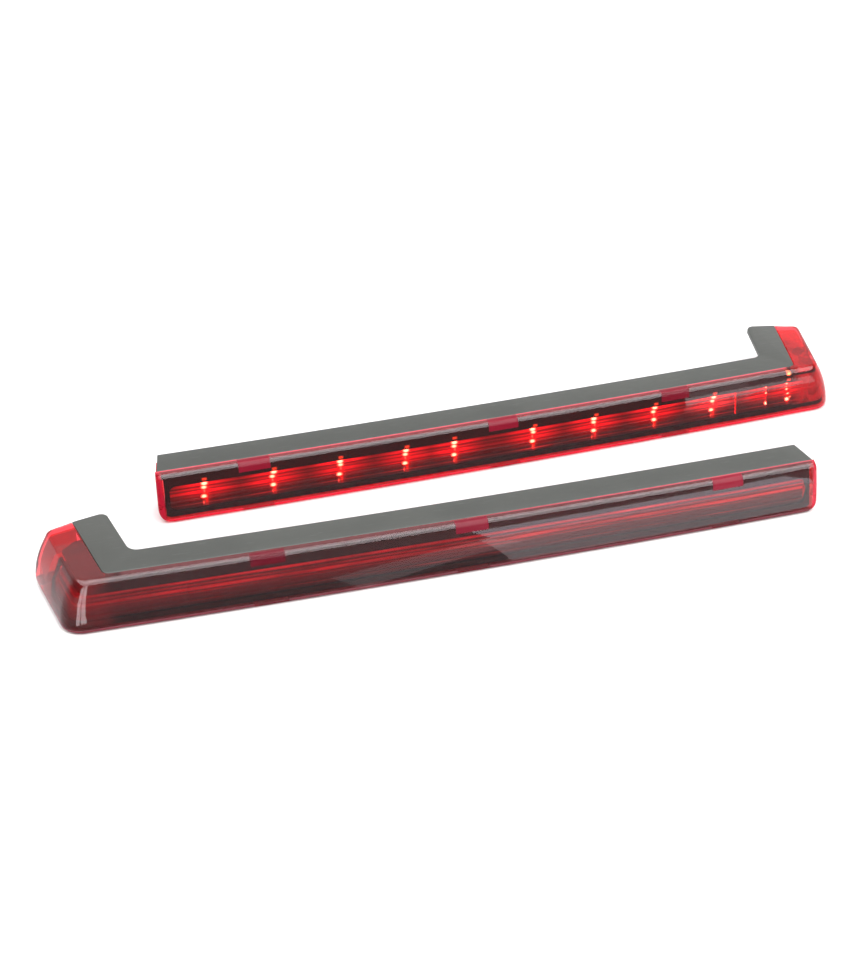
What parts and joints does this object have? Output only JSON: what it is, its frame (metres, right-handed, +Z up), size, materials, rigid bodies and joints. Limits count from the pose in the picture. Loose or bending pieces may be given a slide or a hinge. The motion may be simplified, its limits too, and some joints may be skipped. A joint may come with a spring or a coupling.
{
  "type": "brake lamp pair",
  "caption": "Handed pair of slim wrap-round LED brake lamps: an L-shaped clear red lens and satin plate over a black tray with fluted optics and boards.",
  "frame": {"origin": "centre of the pair's box, on the surface that the lamps lie on", "axes": "+X along the left lamp's long arm, +Y towards the case that the lamps wrap round, +Z up from the surface"},
  "size_m": [0.3396, 0.1107, 0.0198],
  "materials": {
    "tinted_lens": "clear red moulding, gloss",
    "plate_plastic": "dark grey satin, fine moulded grain",
    "housing_plastic": "black moulded",
    "frame_plastic": "black moulded, satin",
    "optic_plastic": "fluted red moulding, unlit",
    "lit_optic_plastic": "fluted red moulding, lit from behind",
    "reflector_plastic": "white reflector",
    "circuit_board": "green solder mask",
    "led_package": "white package with a yellow window",
    "lit_led_package": "lit LED",
    "chip_plastic": "black moulded",
    "flex_link": "amber film",
    "screw_steel": "zinc plated",
    "header_plastic": "ivory moulded",
    "gland_rubber": "black rubber",
    "insert_brass": "turned brass",
    "seal_rubber": "dark silicone bead",
    "vent_plastic": "black moulded"
  },
  "bodies": {
    "root": {"left_lens": "tinted_lens", "left_mounting_plate": "plate_plastic", "left_housing": "housing_plastic", "left_rim_frame": "frame_plastic", "left_main_optic": "optic_plastic", "left_corner_optic": "optic_plastic", "left_reflector": "reflector_plastic", "left_circuit_board": "circuit_board", "left_corner_board": "circuit_board", "left_arm_leds": "led_package", "left_corner_leds": "led_package", "left_resistors": "chip_plastic", "left_driver_chips": "chip_plastic", "left_board_link": "flex_link", "left_board_screws": "screw_steel", "left_wire_header": "header_plastic", "left_cable_gland": "gland_rubber", "left_threaded_inserts": "insert_brass", "left_lens_seal": "seal_rubber", "left_vent_plug": "vent_plastic", "right_lens": "tinted_lens", "right_mounting_plate": "plate_plastic", "right_housing": "housing_plastic", "right_rim_frame": "frame_plastic", "right_main_optic": "lit_optic_plastic", "right_corner_optic": "lit_optic_plastic", "right_reflector": "reflector_plastic", "right_circuit_board": "circuit_board", "right_corner_board": "circuit_board", "right_arm_leds": "lit_led_package", "right_corner_leds": "lit_led_package", "right_resistors": "chip_plastic", "right_driver_chips": "chip_plastic", "right_board_link": "flex_link", "right_board_screws": "screw_steel", "right_wire_header": "header_plastic", "right_cable_gland": "gland_rubber", "right_threaded_inserts": "insert_brass", "right_lens_seal": "seal_rubber", "right_vent_plug": "vent_plastic"}
  },
  "joints": []
}
